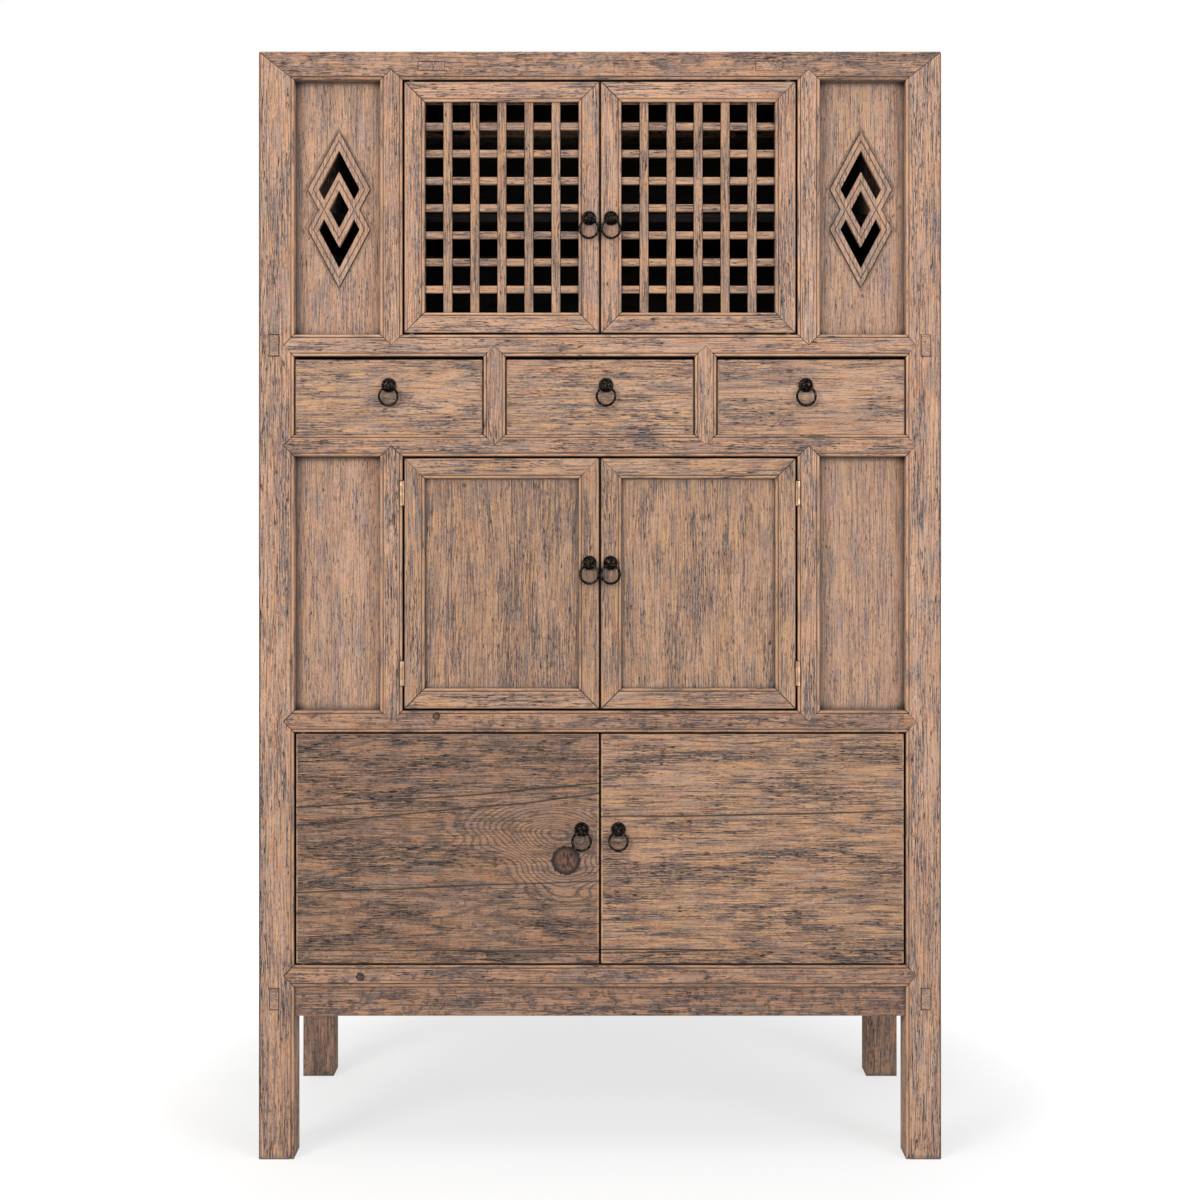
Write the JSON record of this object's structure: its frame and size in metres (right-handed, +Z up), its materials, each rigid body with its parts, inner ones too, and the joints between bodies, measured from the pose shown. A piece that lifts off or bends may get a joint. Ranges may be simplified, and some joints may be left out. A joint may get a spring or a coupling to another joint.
{
  "type": "chinese book cabinet",
  "caption": "Tall timber cabinet on square legs with lattice doors above, drawers at the waist, framed doors and plank doors below, and iron ring pulls.",
  "frame": {"origin": "centre of the bounding box in plan, at the floor under the legs", "axes": "+Z up, front towards -Y, +X to the viewer's right"},
  "size_m": [1.14, 0.492, 1.85],
  "materials": {
    "frame_elm": "washed, open-pored",
    "panel_elm": "washed, open-pored",
    "door_elm": "washed, open-pored",
    "dark_elm": "washed, open-pored",
    "inner_wood": "raw",
    "black_iron": "hand forged",
    "hinge_steel": "worn"
  },
  "bodies": {
    "carcass": {"post_front_left": "frame_elm", "post_front_right": "frame_elm", "posts_back": "frame_elm", "top_rail_front": "frame_elm", "top_rails_sides_and_back": "frame_elm", "top_panel": "panel_elm", "top_battens": "inner_wood", "rail_above_drawers": "frame_elm", "rail_below_drawers": "frame_elm", "rail_below_middle_doors": "frame_elm", "rail_below_bottom_doors": "frame_elm", "apron_front": "frame_elm", "door_stiles": "frame_elm", "drawer_dividers": "frame_elm", "side_rails": "frame_elm", "side_panels": "panel_elm", "back_rails": "inner_wood", "back_panels": "inner_wood", "upper_shelf": "inner_wood", "floor_boards": "inner_wood", "shelf_bearers": "inner_wood", "drawer_guides": "inner_wood", "carved_panel_left": "panel_elm", "carved_panel_right": "panel_elm", "panels_beside_middle_doors": "panel_elm", "hinge_leaves_on_stiles": "hinge_steel"},
    "upper_door_left": {"upper_door_left_frame": "door_elm", "upper_door_left_lattice": "door_elm", "upper_door_left_pull_boss": "black_iron"},
    "middle_door_left": {"middle_door_left_frame": "door_elm", "middle_door_left_panel": "door_elm", "middle_door_left_hinge_leaves": "hinge_steel", "middle_door_left_pull_boss": "black_iron"},
    "bottom_door_left": {"bottom_door_left": "dark_elm", "bottom_door_left_pull_boss": "black_iron"},
    "upper_door_right": {"upper_door_right_frame": "door_elm", "upper_door_right_lattice": "door_elm", "upper_door_right_pull_boss": "black_iron"},
    "middle_door_right": {"middle_door_right_frame": "door_elm", "middle_door_right_panel": "door_elm", "middle_door_right_hinge_leaves": "hinge_steel", "middle_door_right_pull_boss": "black_iron"},
    "bottom_door_right": {"bottom_door_right": "dark_elm", "bottom_door_right_pull_boss": "black_iron"},
    "drawer_left": {"drawer_left": "door_elm", "drawer_left_pull_boss": "black_iron"},
    "drawer_centre": {"drawer_centre": "door_elm", "drawer_centre_pull_boss": "black_iron"},
    "drawer_right": {"drawer_right": "door_elm", "drawer_right_pull_boss": "black_iron"},
    "upper_door_left_ring": {"upper_door_left_pull_ring": "black_iron"},
    "upper_door_right_ring": {"upper_door_right_pull_ring": "black_iron"},
    "drawer_left_ring": {"drawer_left_pull_ring": "black_iron"},
    "drawer_centre_ring": {"drawer_centre_pull_ring": "black_iron"},
    "drawer_right_ring": {"drawer_right_pull_ring": "black_iron"},
    "middle_door_left_ring": {"middle_door_left_pull_ring": "black_iron"},
    "middle_door_right_ring": {"middle_door_right_pull_ring": "black_iron"},
    "bottom_door_left_ring": {"bottom_door_left_pull_ring": "black_iron"},
    "bottom_door_right_ring": {"bottom_door_right_pull_ring": "black_iron"}
  },
  "joints": [
    {"name": "upper_door_left_swing", "type": "hinge", "parent": "carcass", "child": "upper_door_left", "pos_m": [-0.315, -0.2255, 1.59], "axis": [0, 0, -1], "range_deg": [0, 105]},
    {"name": "middle_door_left_swing", "type": "hinge", "parent": "carcass", "child": "middle_door_left", "pos_m": [-0.332, -0.2335, 0.9615], "axis": [0, 0, -1], "range_deg": [0, 110]},
    {"name": "bottom_door_left_swing", "type": "hinge", "parent": "carcass", "child": "bottom_door_left", "pos_m": [-0.496, -0.2255, 0.5185], "axis": [0, 0, -1], "range_deg": [0, 105]},
    {"name": "upper_door_right_swing", "type": "hinge", "parent": "carcass", "child": "upper_door_right", "pos_m": [0.315, -0.2255, 1.59], "axis": [0, 0, 1], "range_deg": [0, 105]},
    {"name": "middle_door_right_swing", "type": "hinge", "parent": "carcass", "child": "middle_door_right", "pos_m": [0.332, -0.2335, 0.9615], "axis": [0, 0, 1], "range_deg": [0, 110]},
    {"name": "bottom_door_right_swing", "type": "hinge", "parent": "carcass", "child": "bottom_door_right", "pos_m": [0.496, -0.2255, 0.5185], "axis": [0, 0, 1], "range_deg": [0, 105]},
    {"name": "drawer_left_slide", "type": "slide", "parent": "carcass", "child": "drawer_left", "axis": [0, -1, 0], "range_m": [0, 0.27]},
    {"name": "drawer_centre_slide", "type": "slide", "parent": "carcass", "child": "drawer_centre", "axis": [0, -1, 0], "range_m": [0, 0.27]},
    {"name": "drawer_right_slide", "type": "slide", "parent": "carcass", "child": "drawer_right", "axis": [0, -1, 0], "range_m": [0, 0.27]},
    {"name": "upper_door_left_ring_swing", "type": "hinge", "parent": "upper_door_left", "child": "upper_door_left_ring", "pos_m": [-0.0185, -0.2409, 1.5679], "axis": [-1, 0, 0], "range_deg": [0, 165]},
    {"name": "upper_door_right_ring_swing", "type": "hinge", "parent": "upper_door_right", "child": "upper_door_right_ring", "pos_m": [0.0185, -0.2409, 1.5679], "axis": [-1, 0, 0], "range_deg": [0, 165]},
    {"name": "drawer_left_ring_swing", "type": "hinge", "parent": "drawer_left", "child": "drawer_left_ring", "pos_m": [-0.35267, -0.2409, 1.28905], "axis": [-1, 0, 0], "range_deg": [0, 165]},
    {"name": "drawer_centre_ring_swing", "type": "hinge", "parent": "drawer_centre", "child": "drawer_centre_ring", "pos_m": [0.01, -0.2409, 1.28905], "axis": [-1, 0, 0], "range_deg": [0, 165]},
    {"name": "drawer_right_ring_swing", "type": "hinge", "parent": "drawer_right", "child": "drawer_right_ring", "pos_m": [0.34367, -0.2409, 1.28905], "axis": [-1, 0, 0], "range_deg": [0, 165]},
    {"name": "middle_door_left_ring_swing", "type": "hinge", "parent": "middle_door_left", "child": "middle_door_left_ring", "pos_m": [-0.0177, -0.2409, 0.9924], "axis": [-1, 0, 0], "range_deg": [0, 165]},
    {"name": "middle_door_right_ring_swing", "type": "hinge", "parent": "middle_door_right", "child": "middle_door_right_ring", "pos_m": [0.0177, -0.2409, 0.9924], "axis": [-1, 0, 0], "range_deg": [0, 165]},
    {"name": "bottom_door_left_ring_swing", "type": "hinge", "parent": "bottom_door_left", "child": "bottom_door_left_ring", "pos_m": [-0.0307, -0.2409, 0.5474], "axis": [-1, 0, 0], "range_deg": [0, 165]},
    {"name": "bottom_door_right_ring_swing", "type": "hinge", "parent": "bottom_door_right", "child": "bottom_door_right_ring", "pos_m": [0.0307, -0.2409, 0.5474], "axis": [-1, 0, 0], "range_deg": [0, 165]}
  ]
}
